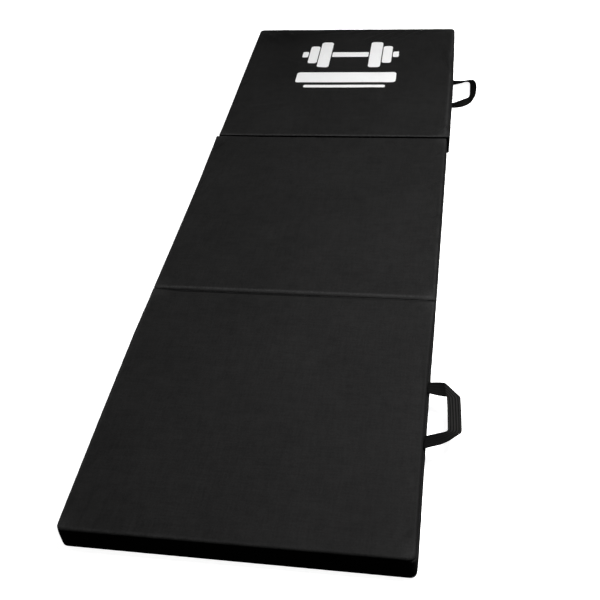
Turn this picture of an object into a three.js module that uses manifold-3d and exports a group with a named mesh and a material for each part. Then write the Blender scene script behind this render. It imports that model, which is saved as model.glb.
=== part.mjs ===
// A tri-fold exercise mat: three fabric-covered foam panels, two fabric folds and two webbing handles.
// Millimetres, +Z up. +Y runs along the mat, +X points to the handles, and the origin lies on the floor
// under the middle of the middle panel.
import * as THREE from 'three';
import { mergeVertices } from 'three/addons/utils/BufferGeometryUtils.js';
import Module from 'manifold-3d';

const wasm = await Module();
wasm.setup();

// Driving dimensions of the mat
const MAT_LENGTH = 1800;
const MAT_WIDTH = 600;
const MAT_THICKNESS = 50;
const FOLD_GAP = 4.5;
const PANEL_LENGTH = (MAT_LENGTH - 2 * FOLD_GAP) / 3;
const PANEL_PITCH = PANEL_LENGTH + FOLD_GAP;
const CORNER_RADIUS = 12;
const FABRIC = 1;
const CLEARANCE = 0.3;
const SEAM_ALLOWANCE = 4;

const HALF_WIDTH = MAT_WIDTH / 2;
const HALF_LENGTH = PANEL_LENGTH / 2;
const WALL_BOTTOM = FABRIC + CLEARANCE;
const WALL_TOP = MAT_THICKNESS - FABRIC - CLEARANCE;
const WALL_HEIGHT = WALL_TOP - WALL_BOTTOM;

// Fold strips: a trough of fabric in each fold
const STRIP_LENGTH = 570;
const STRIP_THICKNESS = 0.6;
const STRIP_WIDTH = FOLD_GAP - 2 * CLEARANCE;
const STRIP_DEPTH = 8;
const STRIP_EDGE = 0.5;

// Handles: 24 mm webbing, both loops the same in plan at their roots
const WEB_THICKNESS = 1.6;
const WEB_WIDTH = 24;
const LOOP_HALF_SPAN = 74;
const NOTCH_CLEARANCE = 0.6;
const TAIL_END = HALF_WIDTH + 1.5;
const TAIL_HEIGHT = 26;
const LOOP_START = HALF_WIDTH + 3.4;
const HANDLE_FROM_PANEL_CENTRE = 3.5;
const TOP_WEB_HEIGHT = WALL_TOP - WEB_THICKNESS / 2;
const BOTTOM_WEB_HEIGHT = WALL_BOTTOM + WEB_THICKNESS / 2;
const SPAN_STEPS = 5;
const GRIP_OUTER_HALF = 41;

// The near loop lies flat, level with its seam, with square folds at its corners
const NEAR_SHOULDER = HALF_WIDTH + 28;
const NEAR_GRIP_INNER = HALF_WIDTH + 36;
const NEAR_GRIP_OUTER = HALF_WIDTH + 60;
const NEAR_GRIP_INNER_HALF = 42;

// The far loop rests on the floor on its outer edge, with its inner edge raised
const FAR_SHOULDER = HALF_WIDTH + 37;
const FAR_SHOULDER_HALF = 70;
const FAR_SHOULDER_RISE = 11;
const FAR_GRIP_INNER = HALF_WIDTH + 53;
const FAR_GRIP_OUTER = HALF_WIDTH + 70;
const FAR_GRIP_INNER_HALF = 35;
const FAR_GRIP_RISE = 16.5;

// Zips: one on the left wall of each panel
const ZIP_HEIGHT = MAT_THICKNESS / 2;
const ZIP_SLOT_LENGTH = 500;
const ZIP_SLOT_WIDTH = 8;
const TAPE_LENGTH = 530;
const TAPE_WIDTH = 28;
const TAPE_THICKNESS = 0.8;
const CHAIN_LENGTH = 490;
const CHAIN_WIDTH = 5.6;
const CHAIN_THICKNESS = 1.6;
const SLIDER_TRAVEL = 460;
const SLIDER_LENGTH = 14;
const SLIDER_WIDTH = 9;
const SLIDER_PLATE = 1.5;
const BRIDGE_LENGTH = 10;
const BRIDGE_WIDTH = 3;
const BRIDGE_BAR = 1.2;
const BRIDGE_OPENING = 2.2;
const BRIDGE_POST = 1.4;
const PULL_LENGTH = 26;
const PULL_WIDTH = 8;
const PULL_THICKNESS = 1.3;
const PULL_HOLE_LENGTH = 5.6;
const PULL_HOLE_WIDTH = 4.2;

// The print on the far panel: a dumbbell over two plain bars
const PRINT_THICKNESS = 0.2;
const DUMBBELL_FROM_PANEL_CENTRE = 133;
const DUMBBELL_HALF_LENGTH = 142;
const GRIP_HALF_HEIGHT = 14;
const INNER_DISC = { from: 58, to: 96, halfHeight: 75 };
const OUTER_DISC = { from: 96, to: 126, halfHeight: 50 };
const WIDE_BAR = { width: 284, height: 40, radius: 8, y: -135 };
const NARROW_BAR = { width: 230, height: 14, radius: 6, y: -182 };

const AXIS_X = new THREE.Vector3(1, 0, 0);
const AXIS_Y = new THREE.Vector3(0, 1, 0);
const AXIS_Z = new THREE.Vector3(0, 0, 1);

function fabricLike(color, roughness) {
  return new THREE.MeshStandardMaterial({ color, roughness, metalness: 0 });
}

const newCover = () => fabricLike(0x242426, 0.9);
const newFoam = () => fabricLike(0xd8d8d2, 0.95);
const newWebbing = () => fabricLike(0x1c1c1e, 0.85);
const newHingeFabric = () => fabricLike(0x1a1a1c, 0.9);
const newTape = () => fabricLike(0x18181a, 0.9);
const newCoil = () => fabricLike(0x101012, 0.5);
const newPrint = () => fabricLike(0xf2f2f2, 0.6);
const newZipMetal = () =>
  new THREE.MeshStandardMaterial({ color: 0x15151a, roughness: 0.4, metalness: 0.6 });

function addPiece(parent, name, geometry, material) {
  const mesh = new THREE.Mesh(geometry, material);
  mesh.name = name;
  parent.add(mesh);
  return mesh;
}

function extruded(shape, depth, curveSegments = 6) {
  return new THREE.ExtrudeGeometry(shape, { depth, bevelEnabled: false, curveSegments });
}

// Turns an outline drawn in (Y, Z) and extruded so that its thickness runs along +X.
function facingX(geometry) {
  return geometry.applyMatrix4(new THREE.Matrix4().makeBasis(AXIS_Y, AXIS_Z, AXIS_X));
}

// Turns an outline drawn in (X, Z) and extruded so that its thickness runs along -Y.
function facingBack(geometry) {
  return geometry.applyMatrix4(new THREE.Matrix4().makeBasis(AXIS_X, AXIS_Z, AXIS_Y.clone().negate()));
}

function outline(points) {
  return new THREE.Shape(points.map(([x, y]) => new THREE.Vector2(x, y)));
}

function rectangle(centreX, centreY, width, height) {
  const x = width / 2;
  const y = height / 2;
  return outline([
    [centreX - x, centreY - y],
    [centreX + x, centreY - y],
    [centreX + x, centreY + y],
    [centreX - x, centreY + y],
  ]);
}

function roundedRectangle(width, height, radius) {
  const x = width / 2;
  const y = height / 2;
  const shape = new THREE.Shape();
  shape.moveTo(-x + radius, -y);
  shape.lineTo(x - radius, -y);
  shape.absarc(x - radius, -y + radius, radius, -Math.PI / 2, 0);
  shape.lineTo(x, y - radius);
  shape.absarc(x - radius, y - radius, radius, 0, Math.PI / 2);
  shape.lineTo(-x + radius, y);
  shape.absarc(-x + radius, y - radius, radius, Math.PI / 2, Math.PI);
  shape.lineTo(-x, -y + radius);
  shape.absarc(-x + radius, -y + radius, radius, Math.PI, 1.5 * Math.PI);
  return shape;
}

function joined(first, second) {
  const [a, b] = [first, second].map((geometry) => {
    geometry.deleteAttribute('normal');
    geometry.deleteAttribute('uv');
    const merged = mergeVertices(geometry);
    return new wasm.Manifold(
      new wasm.Mesh({
        numProp: 3,
        vertProperties: merged.attributes.position.array,
        triVerts: new Uint32Array(merged.index.array),
      }),
    );
  });
  const mesh = a.add(b).getMesh();
  const geometry = new THREE.BufferGeometry();
  geometry.setAttribute('position', new THREE.BufferAttribute(mesh.vertProperties, 3));
  geometry.setIndex(new THREE.BufferAttribute(mesh.triVerts, 1));
  return geometry;
}

// --- Panels -------------------------------------------------------------------------------------

function sheetGeometry() {
  return extruded(roundedRectangle(MAT_WIDTH, PANEL_LENGTH, CORNER_RADIUS), FABRIC);
}

function foamGeometry() {
  const inset = 2 * (FABRIC + SEAM_ALLOWANCE);
  const block = roundedRectangle(MAT_WIDTH - inset, PANEL_LENGTH - inset, CORNER_RADIUS);
  return extruded(block, WALL_HEIGHT - 2 * CLEARANCE);
}

// An end wall with both round corners, drawn for the -Y end and standing on the bottom sheet.
function endWallGeometry() {
  const x = HALF_WIDTH - CORNER_RADIUS;
  const y = CORNER_RADIUS - HALF_LENGTH;
  const inner = CORNER_RADIUS - FABRIC;
  const shape = new THREE.Shape();
  shape.moveTo(-HALF_WIDTH, y);
  shape.absarc(-x, y, CORNER_RADIUS, Math.PI, 1.5 * Math.PI);
  shape.lineTo(x, -HALF_LENGTH);
  shape.absarc(x, y, CORNER_RADIUS, 1.5 * Math.PI, 2 * Math.PI);
  shape.lineTo(HALF_WIDTH - FABRIC, y);
  shape.absarc(x, y, inner, 0, -Math.PI / 2, true);
  shape.lineTo(-x, FABRIC - HALF_LENGTH);
  shape.absarc(-x, y, inner, -Math.PI / 2, -Math.PI, true);
  return extruded(shape, WALL_HEIGHT);
}

function sideWallOutline() {
  const length = PANEL_LENGTH - 2 * (CORNER_RADIUS + CLEARANCE);
  return rectangle(0, (WALL_BOTTOM + WALL_TOP) / 2, length, WALL_HEIGHT);
}

// The wall on the handle side. notchEdge is the seam, 1 for the top and -1 for the bottom, that the
// handle's webbing comes out of, or 0 for a panel with no handle.
function rightWallGeometry(notchEdge, handleY) {
  if (notchEdge === 0) return facingX(extruded(sideWallOutline(), FABRIC));
  const half = PANEL_LENGTH / 2 - CORNER_RADIUS - CLEARANCE;
  const edge = notchEdge > 0 ? WALL_TOP : WALL_BOTTOM;
  const opposite = notchEdge > 0 ? WALL_BOTTOM : WALL_TOP;
  const notchFloor = edge - notchEdge * (WEB_THICKNESS + CLEARANCE);
  const notchHalf = WEB_WIDTH / 2 + NOTCH_CLEARANCE;
  const edgePoints = [-1, 1].flatMap((side) => {
    const y = handleY + side * (LOOP_HALF_SPAN - WEB_WIDTH / 2);
    return [
      [y - notchHalf, edge],
      [y - notchHalf, notchFloor],
      [y + notchHalf, notchFloor],
      [y + notchHalf, edge],
    ];
  });
  const around = [[-half, opposite], [-half, edge], ...edgePoints, [half, edge], [half, opposite]];
  return facingX(extruded(outline(around), FABRIC));
}

// The wall on the zip side, with the slot that shows the chain.
function leftWallGeometry() {
  const shape = sideWallOutline();
  shape.holes.push(rectangle(0, ZIP_HEIGHT, ZIP_SLOT_LENGTH, ZIP_SLOT_WIDTH));
  return facingX(extruded(shape, FABRIC));
}

// --- Zips ---------------------------------------------------------------------------------------

// The slider's face plate carries a bridge, an arch along the chain that the pull hangs on.
function sliderGeometry() {
  const plate = extruded(roundedRectangle(SLIDER_LENGTH, SLIDER_WIDTH, SLIDER_WIDTH / 3), SLIDER_PLATE, 3);
  const half = BRIDGE_LENGTH / 2;
  const opening = half - BRIDGE_POST;
  const foot = SLIDER_PLATE / 2;
  const under = SLIDER_PLATE + BRIDGE_OPENING;
  const top = under + BRIDGE_BAR;
  const arch = outline([
    [-half, foot],
    [half, foot],
    [half, top - BRIDGE_BAR],
    [half - BRIDGE_BAR, top],
    [BRIDGE_BAR - half, top],
    [-half, top - BRIDGE_BAR],
  ]);
  arch.holes.push(rectangle(0, (SLIDER_PLATE + under) / 2, 2 * opening, BRIDGE_OPENING));
  const bridge = extruded(arch, BRIDGE_WIDTH);
  bridge.rotateX(Math.PI / 2);
  bridge.translate(0, BRIDGE_WIDTH / 2, 0);
  return joined(plate, bridge);
}

// The pull lies flat along the chain. Its own origin is the middle of the bar under the bridge.
function pullGeometry() {
  const bar = PULL_THICKNESS / 2;
  const half = PULL_WIDTH / 2;
  const round = PULL_WIDTH / 4;
  const shape = new THREE.Shape();
  shape.moveTo(-bar, -half);
  shape.lineTo(PULL_LENGTH - round, -half);
  shape.absarc(PULL_LENGTH - round, -half + round, round, -Math.PI / 2, 0);
  shape.absarc(PULL_LENGTH - round, half - round, round, 0, Math.PI / 2);
  shape.lineTo(-bar, half);
  shape.holes.push(rectangle(bar + PULL_HOLE_LENGTH / 2, 0, PULL_HOLE_LENGTH, PULL_HOLE_WIDTH));
  const geometry = extruded(shape, PULL_THICKNESS, 3);
  geometry.translate(0, 0, -bar);
  return geometry;
}

// Turns a piece drawn flat, with its length along X and its face up, onto the left wall: its length
// along +Y, its face towards -X.
function ontoLeftWall(geometry) {
  return geometry.applyMatrix4(
    new THREE.Matrix4().makeBasis(AXIS_Y, AXIS_Z, AXIS_X).multiply(new THREE.Matrix4().makeRotationX(Math.PI)),
  );
}

function addZip(panel, name) {
  const tape = facingX(extruded(rectangle(0, ZIP_HEIGHT, TAPE_LENGTH, TAPE_WIDTH), TAPE_THICKNESS));
  const tapePiece = addPiece(panel, `${name}_zip_tape`, tape, newTape());
  tapePiece.position.x = FABRIC + CLEARANCE - HALF_WIDTH;

  const chain = facingX(extruded(rectangle(0, ZIP_HEIGHT, CHAIN_LENGTH, CHAIN_WIDTH), CHAIN_THICKNESS));
  const chainPiece = addPiece(panel, `${name}_zip_chain`, chain, newCoil());
  const chainFace = HALF_WIDTH - FABRIC + CHAIN_THICKNESS;
  chainPiece.position.x = -chainFace;

  const sliderY = -SLIDER_TRAVEL / 2;
  const sliderFoot = chainFace + CLEARANCE;
  const slider = addPiece(panel, `${name}_zip_slider`, ontoLeftWall(sliderGeometry()), newZipMetal());
  slider.position.set(-sliderFoot, sliderY, ZIP_HEIGHT);

  const pull = addPiece(panel, `${name}_zip_pull`, ontoLeftWall(pullGeometry()), newZipMetal());
  const pullFace = sliderFoot + SLIDER_PLATE + BRIDGE_OPENING / 2;
  pull.position.set(-pullFace, sliderY, ZIP_HEIGHT);
}

function addPanel(mat, name, centreY, notchEdge, handleY) {
  const panel = new THREE.Group();
  panel.position.y = centreY;
  mat.add(panel);

  const foam = addPiece(panel, `${name}_foam_core`, foamGeometry(), newFoam());
  foam.position.z = WALL_BOTTOM + CLEARANCE;
  const top = addPiece(panel, `${name}_top_sheet`, sheetGeometry(), newCover());
  top.position.z = MAT_THICKNESS - FABRIC;
  addPiece(panel, `${name}_bottom_sheet`, sheetGeometry(), newCover());

  const front = addPiece(panel, `${name}_front_gusset`, endWallGeometry(), newCover());
  front.position.z = WALL_BOTTOM;
  const back = addPiece(panel, `${name}_back_gusset`, endWallGeometry(), newCover());
  back.position.z = WALL_BOTTOM;
  back.rotation.z = Math.PI;

  const right = addPiece(panel, `${name}_right_gusset`, rightWallGeometry(notchEdge, handleY), newCover());
  right.position.x = HALF_WIDTH - FABRIC;
  const left = addPiece(panel, `${name}_left_gusset`, leftWallGeometry(), newCover());
  left.position.x = -HALF_WIDTH;
  addZip(panel, name);
  return panel;
}

// --- Fold strips --------------------------------------------------------------------------------

// A trough in section, open upwards, whose two edges lie along the seams of two neighbouring panels.
function stripGeometry() {
  const half = STRIP_WIDTH / 2;
  const inner = half - STRIP_THICKNESS;
  const shape = outline([
    [-half, 0],
    [-half, -STRIP_DEPTH],
    [half, -STRIP_DEPTH],
    [half, 0],
    [inner, 0],
    [inner, STRIP_THICKNESS - STRIP_DEPTH],
    [-inner, STRIP_THICKNESS - STRIP_DEPTH],
    [-inner, 0],
  ]);
  const geometry = facingX(extruded(shape, STRIP_LENGTH));
  geometry.translate(-STRIP_LENGTH / 2, 0, 0);
  return geometry;
}

function addFoldStrips(mat) {
  const near = addPiece(mat, 'near_fold_strip', stripGeometry(), newHingeFabric());
  near.position.set(0, -PANEL_PITCH / 2, MAT_THICKNESS - STRIP_EDGE);
  const far = addPiece(mat, 'far_fold_strip', stripGeometry(), newHingeFabric());
  far.rotation.x = Math.PI;
  far.position.set(0, PANEL_PITCH / 2, STRIP_EDGE);
}

// --- Handles ------------------------------------------------------------------------------------

// Webbing between two edges. Each edge is a list of corner points, and the two lists match.
function webbingGeometry(outerCorners, innerCorners) {
  const outer = subdivided(outerCorners);
  const inner = subdivided(innerCorners);
  const positions = [];
  outer.forEach((edge, i) => {
    const before = outer[Math.max(i - 1, 0)];
    const after = outer[Math.min(i + 1, outer.length - 1)];
    const along = after.clone().sub(before);
    const across = inner[i].clone().sub(edge);
    const normal = across.cross(along).normalize().multiplyScalar(WEB_THICKNESS / 2);
    const section = [
      edge.clone().add(normal),
      inner[i].clone().add(normal),
      inner[i].clone().sub(normal),
      edge.clone().sub(normal),
    ];
    section.forEach((point) => positions.push(point.x, point.y, point.z));
  });
  const geometry = new THREE.BufferGeometry();
  geometry.setAttribute('position', new THREE.Float32BufferAttribute(positions, 3));
  geometry.setIndex(tubeTriangles(outer.length, 4));
  return geometry;
}

function subdivided(corners) {
  const points = [new THREE.Vector3(...corners[0])];
  for (let i = 1; i < corners.length; i += 1) {
    const from = new THREE.Vector3(...corners[i - 1]);
    const to = new THREE.Vector3(...corners[i]);
    for (let step = 1; step <= SPAN_STEPS; step += 1) {
      points.push(from.clone().lerp(to, step / SPAN_STEPS));
    }
  }
  return points;
}

// The triangles of a closed tube of `rings` sections with `sides` points each, with flat ends.
function tubeTriangles(rings, sides) {
  const triangles = [];
  for (let ring = 0; ring < rings - 1; ring += 1) {
    for (let side = 0; side < sides; side += 1) {
      const next = (side + 1) % sides;
      const a = ring * sides + side;
      const b = ring * sides + next;
      triangles.push(a, b, a + sides, b, b + sides, a + sides);
    }
  }
  const last = (rings - 1) * sides;
  for (let side = 1; side < sides - 1; side += 1) {
    triangles.push(0, side + 1, side);
    triangles.push(last, last + side, last + side + 1);
  }
  return triangles;
}

// A loop's edge, out from its root, across the grip and back, from [x, y, z] corners on the -Y half.
function mirrored(corners) {
  return [...corners, ...corners.map(([x, y, z]) => [x, -y, z]).reverse()];
}

function nearLoopGeometry() {
  const z = TOP_WEB_HEIGHT;
  const rootInner = LOOP_HALF_SPAN - WEB_WIDTH;
  const outer = [
    [LOOP_START, -LOOP_HALF_SPAN, z],
    [NEAR_SHOULDER, -LOOP_HALF_SPAN, z],
    [NEAR_GRIP_OUTER, -GRIP_OUTER_HALF, z],
  ];
  const inner = [
    [LOOP_START, -rootInner, z],
    [NEAR_SHOULDER, -rootInner, z],
    [NEAR_GRIP_INNER, -NEAR_GRIP_INNER_HALF, z],
  ];
  return webbingGeometry(mirrored(outer), mirrored(inner));
}

function farLoopGeometry() {
  const z = BOTTOM_WEB_HEIGHT;
  const floor = WEB_THICKNESS / 2;
  const rootInner = LOOP_HALF_SPAN - WEB_WIDTH;
  const outer = [
    [LOOP_START, -LOOP_HALF_SPAN, z],
    [FAR_SHOULDER, -FAR_SHOULDER_HALF, floor],
    [FAR_GRIP_OUTER, -GRIP_OUTER_HALF, floor],
  ];
  const inner = [
    [LOOP_START, -rootInner, z],
    [FAR_SHOULDER, WEB_WIDTH - FAR_SHOULDER_HALF, FAR_SHOULDER_RISE],
    [FAR_GRIP_INNER, -FAR_GRIP_INNER_HALF, FAR_GRIP_RISE],
  ];
  return webbingGeometry(mirrored(outer), mirrored(inner));
}

// A sewn end: out through the notch at `height`, and folded flat against the inside of the wall.
// away is -1 where the folded part hangs below the notch, and 1 where it stands above.
function tailGeometry(height, away) {
  const half = WEB_THICKNESS / 2;
  const face = HALF_WIDTH - FABRIC - CLEARANCE;
  const shape = outline([
    [face - WEB_THICKNESS, height - away * half],
    [TAIL_END, height - away * half],
    [TAIL_END, height + away * half],
    [face, height + away * half],
    [face, height + away * TAIL_HEIGHT],
    [face - WEB_THICKNESS, height + away * TAIL_HEIGHT],
  ]);
  const geometry = facingBack(extruded(shape, WEB_WIDTH));
  geometry.translate(0, WEB_WIDTH / 2, 0);
  return geometry;
}

function addHandle(mat, name, centreY, loopGeometry, height, away) {
  const handle = new THREE.Group();
  handle.position.y = centreY;
  mat.add(handle);
  addPiece(handle, `${name}_handle_loop`, loopGeometry, newWebbing());
  const offset = LOOP_HALF_SPAN - WEB_WIDTH / 2;
  const front = addPiece(handle, `${name}_handle_front_tail`, tailGeometry(height, away), newWebbing());
  front.position.y = -offset;
  const back = addPiece(handle, `${name}_handle_back_tail`, tailGeometry(height, away), newWebbing());
  back.position.y = offset;
}

// --- Print --------------------------------------------------------------------------------------

// A dumbbell seen from the side: a grip with two discs of falling height at each end.
function dumbbellShape() {
  const right = [
    [INNER_DISC.from, GRIP_HALF_HEIGHT],
    [INNER_DISC.from, INNER_DISC.halfHeight],
    [INNER_DISC.to, INNER_DISC.halfHeight],
    [OUTER_DISC.from, OUTER_DISC.halfHeight],
    [OUTER_DISC.to, OUTER_DISC.halfHeight],
    [OUTER_DISC.to, GRIP_HALF_HEIGHT],
    [DUMBBELL_HALF_LENGTH, GRIP_HALF_HEIGHT],
  ];
  const upper = [...right.map(([x, y]) => [-x, y]).reverse(), ...right];
  const lower = upper.map(([x, y]) => [x, -y]).reverse();
  return outline([...lower, ...upper]);
}

function addPrint(mat, centreY) {
  const print = new THREE.Group();
  print.position.set(0, centreY, MAT_THICKNESS + CLEARANCE);
  mat.add(print);
  addPiece(print, 'emblem_dumbbell', extruded(dumbbellShape(), PRINT_THICKNESS), newPrint());
  const bars = { emblem_wide_bar: WIDE_BAR, emblem_narrow_bar: NARROW_BAR };
  Object.entries(bars).forEach(([name, bar]) => {
    const shape = roundedRectangle(bar.width, bar.height, bar.radius);
    const piece = addPiece(print, name, extruded(shape, PRINT_THICKNESS), newPrint());
    piece.position.y = bar.y;
  });
}

const mat = new THREE.Group();
addPanel(mat, 'near', -PANEL_PITCH, 1, -HANDLE_FROM_PANEL_CENTRE);
addPanel(mat, 'middle', 0, 0, 0);
addPanel(mat, 'far', PANEL_PITCH, -1, 0);
addFoldStrips(mat);
addHandle(mat, 'near', -PANEL_PITCH - HANDLE_FROM_PANEL_CENTRE, nearLoopGeometry(), TOP_WEB_HEIGHT, -1);
addHandle(mat, 'far', PANEL_PITCH, farLoopGeometry(), BOTTOM_WEB_HEIGHT, 1);
addPrint(mat, PANEL_PITCH + DUMBBELL_FROM_PANEL_CENTRE);

export default mat;
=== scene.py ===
"""Looks for the folding gym mat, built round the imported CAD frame. Lengths are in mm until a mesh is made."""

import math

import bmesh
import bpy
import numpy as np
from mathutils import Matrix, Vector, noise
from mathutils.bvhtree import BVHTree


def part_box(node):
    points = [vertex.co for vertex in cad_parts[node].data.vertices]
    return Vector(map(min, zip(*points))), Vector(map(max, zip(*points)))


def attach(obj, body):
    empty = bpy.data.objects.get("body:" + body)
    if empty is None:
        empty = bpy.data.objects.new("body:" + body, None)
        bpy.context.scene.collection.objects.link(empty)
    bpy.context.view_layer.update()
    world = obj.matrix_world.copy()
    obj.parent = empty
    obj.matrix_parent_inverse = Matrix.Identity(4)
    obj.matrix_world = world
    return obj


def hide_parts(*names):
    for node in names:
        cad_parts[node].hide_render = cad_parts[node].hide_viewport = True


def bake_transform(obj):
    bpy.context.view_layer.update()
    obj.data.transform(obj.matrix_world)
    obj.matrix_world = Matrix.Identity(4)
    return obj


MM = 0.001

# The camera, solved from the mat's corners in the photograph.
CAMERA_AT = (346.9, -1621.7, 1278)
CAMERA_AZIMUTH = 13.945
CAMERA_ELEVATION = 42.518
CAMERA_ROLL = -7.075
CAMERA_LENS = 52.52

# The panels.
HALF_WIDTH = 300
HALF_LENGTH = 298.5
THICKNESS = 50
PITCH = 601.5
PANEL_AT = {"near": -PITCH, "middle": 0, "far": PITCH}
PLAN_RADIUS = 12
FOLD_PLAN_RADIUS = 1.6
TOP_RADIUS = 4.6
FOLD_TOP_RADIUS = 2.7
BOTTOM_RADIUS = 4.2
FOLD_SIDES = {"near": (1,), "middle": (-1, 1), "far": (-1,)}
TOP_SEAM_Z = 44.6
BOTTOM_SEAM_Z = 4.7
EDGE_LINES = (0, 1.5, 3, 4.6, 8, 12)
CELL = 10
WALL_ROWS = (1.5, 3, 4.6, 5.4, 6.4, 8.6, 14, 19.8, 21.2, 22.6, 25, 27.4, 28.8, 30.2, 36, 41.5, 44.4)
WALL_ROWS += (45.3, 46.2, 47, 48.2)

# The zip on the left wall.
SLOT_HALF_LENGTH = 250
SLOT_HALF_HEIGHT = 4
SLOT_DEPTH = 2.5
ZIP_Z = 25
CHAIN_X = -299.85
CHAIN_HALF_LENGTH = 245
TOOTH_PITCH = 1.25

# How the covers have settled in the photograph: places along the mat and shifts, in mm.
LEFT_EDGE = (
    (-890, -830, -745, -650, -550, -440, -375, -303, -298, -250, -150)
    + (0, 100, 200, 298, 303, 360, 490, 600, 750, 890),
    (-0.7, 0, 1.1, 2.2, 2.9, 3.6, 2.8, 1.3, 1.1, 1.3, 0.3)
    + (-1, -1.4, -0.3, 0.6, -5, -4.6, -4, -2.9, -2, -1),
)
RIGHT_SIDE = (
    (-890, -745, -650, -550, -440, -375, -303, -298, -150, 0, 150, 260, 298, 303, 430, 600, 700, 800, 890),
    (1.8, 1.3, 1, 1, 1.3, 1.9, 2.1, 2.1, 2.5, 2.6, 2.8, 2.6, 1.6, 7.5, 7.7, 7.5, 5.5, 4, 2.5),
)
# How far the far panel's end is turned, and the near end's line at its left and right corners.
FAR_SKEW = 8
RIGHT_TUCK = (
    (-890, -745, -550, -400, -310, -295, -150, 150, 290, 303),
    (3, 4, 4.4, 3.4, 0.8, 1.4, 2.6, 3, 2, 0),
)
FRONT_TOP = (-2.5, 2.5)
FRONT_BOTTOM = (-5, -2.2)
# How far the walls that meet at the near fold lean, by x, and how much closer the middle panel's one is.
FOLD_LEAN = ((-300, -230, -60, 120, 300), (0, -3.2, -3.1, -3.3, -3.6))
FOLD_CLOSED = {"near": 0, "middle": -2.9}
# How far the middle panel's top edge sinks at the far fold, by x: a dark line is seen there. The same table
# scales the painted shade along that edge.
FAR_FOLD_SINK = ((-290, -251, -120, 300), (0.4, 1.2, 3.2, 3.2))
# How much painted shade darkens the near panel's top edge at the near fold, by x.
NEAR_FOLD_SHADE = ((-290, -230, 40, 120, 200, 300), (0.6, 1.9, 1.9, 1, 0.7, 0.8))


def add_camera():
    azimuth, elevation, roll = (math.radians(a) for a in (CAMERA_AZIMUTH, CAMERA_ELEVATION, CAMERA_ROLL))
    level_share = math.cos(elevation)
    back = Vector((math.sin(azimuth) * level_share, -math.cos(azimuth) * level_share, math.sin(elevation)))
    level = Vector((math.cos(azimuth), math.sin(azimuth), 0))
    above = back.cross(level)
    right = math.cos(roll) * level + math.sin(roll) * above
    up = -math.sin(roll) * level + math.cos(roll) * above
    camera = linked("camera", bpy.data.cameras.new("camera"))
    turn = Matrix((right, up, back)).transposed().to_4x4()
    camera.matrix_world = Matrix.Translation(Vector(CAMERA_AT) * MM) @ turn
    camera.data.lens = CAMERA_LENS
    camera.data.clip_start = 0.01
    camera.data.clip_end = 100
    bpy.context.scene.camera = camera


def linked(name, data):
    thing = bpy.data.objects.new(name, data)
    bpy.context.scene.collection.objects.link(thing)
    return thing


# ---- meshes


def make_object(name, points, faces, material, smooth=True, uv=None):
    """A mesh from points in mm. uv is one pair per point."""
    mesh = bpy.data.meshes.new(name)
    corners = [tuple(p) for p in np.asarray(points, float) * MM]
    mesh.from_pydata(corners, [], [tuple(int(i) for i in f) for f in faces])
    mesh.validate()
    mesh.update()
    mesh.polygons.foreach_set("use_smooth", [smooth] * len(mesh.polygons))
    if uv is not None:
        layer = mesh.uv_layers.new(name="across_and_along")
        loops = np.zeros(len(mesh.loops), int)
        mesh.loops.foreach_get("vertex_index", loops)
        layer.data.foreach_set("uv", (np.asarray(uv, float)[loops]).ravel())
    mesh.materials.append(material)
    return linked(name, mesh)


def vertex_values(piece, what):
    values = np.zeros(len(piece.data.vertices) * 3)
    piece.data.vertices.foreach_get(what, values)
    return values.reshape(-1, 3)


def points_of(piece):
    return vertex_values(piece, "co") / MM


def set_points(piece, points):
    piece.data.vertices.foreach_set("co", (points * MM).ravel())
    piece.data.update()


def add_attribute(piece, name, values):
    layer = piece.data.attributes.new(name, "FLOAT", "POINT")
    layer.data.foreach_set("value", values.astype(np.float32))


def apply_modifiers(piece):
    depsgraph = bpy.context.evaluated_depsgraph_get()
    depsgraph.update()
    mesh = bpy.data.meshes.new_from_object(piece.evaluated_get(depsgraph))
    old = piece.data
    piece.modifiers.clear()
    piece.data = mesh
    mesh.name = piece.name
    bpy.data.meshes.remove(old)


def subdivided(piece):
    modifier = piece.modifiers.new("smooth", "SUBSURF")
    modifier.levels = 1
    modifier.render_levels = 1
    apply_modifiers(piece)
    piece.data.polygons.foreach_set("use_smooth", [True] * len(piece.data.polygons))


def smoothstep(low, high, value):
    t = np.clip((np.asarray(value, float) - low) / (high - low), 0, 1)
    return t * t * (3 - 2 * t)


def distances(points):
    """How far along a path each of its points is."""
    return np.concatenate(([0], np.cumsum(np.linalg.norm(np.diff(points, axis=0), axis=1))))


def near_end(along, start, full):
    """From 0 to 1 between two distances from a panel's end, in mm."""
    return smoothstep(HALF_LENGTH - start, HALF_LENGTH - full, along)


def bell(value, width):
    return np.exp(-((value / width) ** 2))


def noise_at(points, scale, seed):
    """Smooth noise from -1 to 1 at each point, with features of about 1/scale mm."""
    shift = Vector((seed * 17.3, seed * 5.9, seed * 11.1))
    return np.array([noise.noise(Vector(p) * scale + shift) for p in points])


# ---- a rounded, padded block


def grid_lines(half, edges, cell):
    inner = half - edges[-1]
    count = max(2, round(2 * inner / cell))
    middle = np.linspace(-inner, inner, count + 1)
    low = [-half + e for e in edges[:-1]]
    return np.array(low + list(middle) + [-v for v in reversed(low)])


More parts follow.
